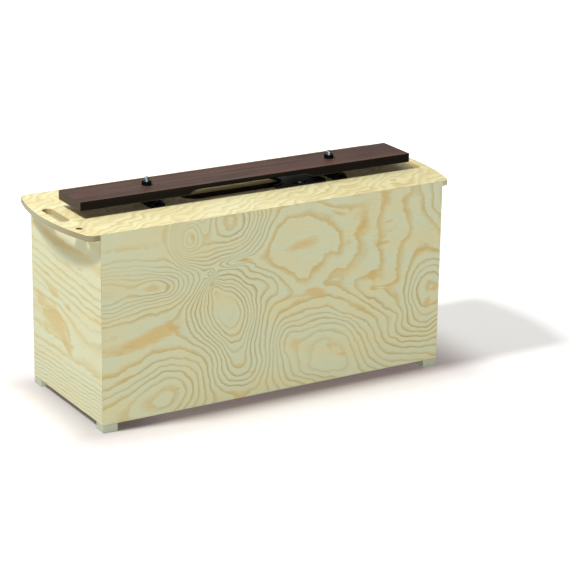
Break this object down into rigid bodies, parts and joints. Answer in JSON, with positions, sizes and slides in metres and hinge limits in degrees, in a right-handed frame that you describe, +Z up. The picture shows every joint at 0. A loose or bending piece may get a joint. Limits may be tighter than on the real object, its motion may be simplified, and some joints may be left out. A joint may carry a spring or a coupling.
{
  "type": "deep-bass chime bar",
  "caption": "Deep-bass chime bar: undercut rosewood tone bar on two pins over a large plywood resonator box with carrying ears, a sound hole and a tuning slide.",
  "frame": {"origin": "on the floor, under the middle of the overall length and of the width", "axes": "+X along the tone bar to the right as the player stands in front, +Y to the back, +Z up"},
  "size_m": [0.7796, 0.28, 0.407],
  "materials": {
    "panel_plywood": "satin clear lacquer on pine veneer",
    "board_plywood": "satin clear lacquer on pine veneer",
    "foot_wood": "sanded pale wood",
    "batten_wood": "planed softwood",
    "rosewood": "satin oiled rosewood",
    "black_rubber": "matt black",
    "black_plastic": "semi-gloss black",
    "bright_steel": "bright plated steel"
  },
  "bodies": {
    "box": {"front_panel": "panel_plywood", "back_panel": "panel_plywood", "left_panel": "panel_plywood", "right_panel": "panel_plywood", "bottom_panel": "panel_plywood", "top_board": "board_plywood", "top_strip_front": "batten_wood", "top_strip_back": "batten_wood", "bottom_strip_front": "batten_wood", "bottom_strip_back": "batten_wood", "pin_block_left": "batten_wood", "pin_block_right": "batten_wood", "pin_left": "bright_steel", "pin_right": "bright_steel", "support_left": "black_rubber", "support_right": "black_rubber", "slide_screw_front": "bright_steel", "slide_screw_back": "bright_steel", "foot_front_left": "foot_wood", "foot_screw_front_left": "bright_steel", "corner_post_front_left": "batten_wood", "foot_front_right": "foot_wood", "foot_screw_front_right": "bright_steel", "corner_post_front_right": "batten_wood", "foot_back_left": "foot_wood", "foot_screw_back_left": "bright_steel", "corner_post_back_left": "batten_wood", "foot_back_right": "foot_wood", "foot_screw_back_right": "bright_steel", "corner_post_back_right": "batten_wood"},
    "bar": {"tone_bar": "rosewood", "grommet_left": "black_rubber", "grommet_right": "black_rubber"},
    "slide": {"tuning_slide": "black_plastic"}
  },
  "joints": [
    {"name": "bar_lift", "type": "slide", "parent": "box", "child": "bar", "axis": [0, 0, 1], "range_m": [0, 0.08]},
    {"name": "slide_tune", "type": "slide", "parent": "box", "child": "slide", "axis": [1, 0, 0], "range_m": [-0.012, 0.012]}
  ]
}
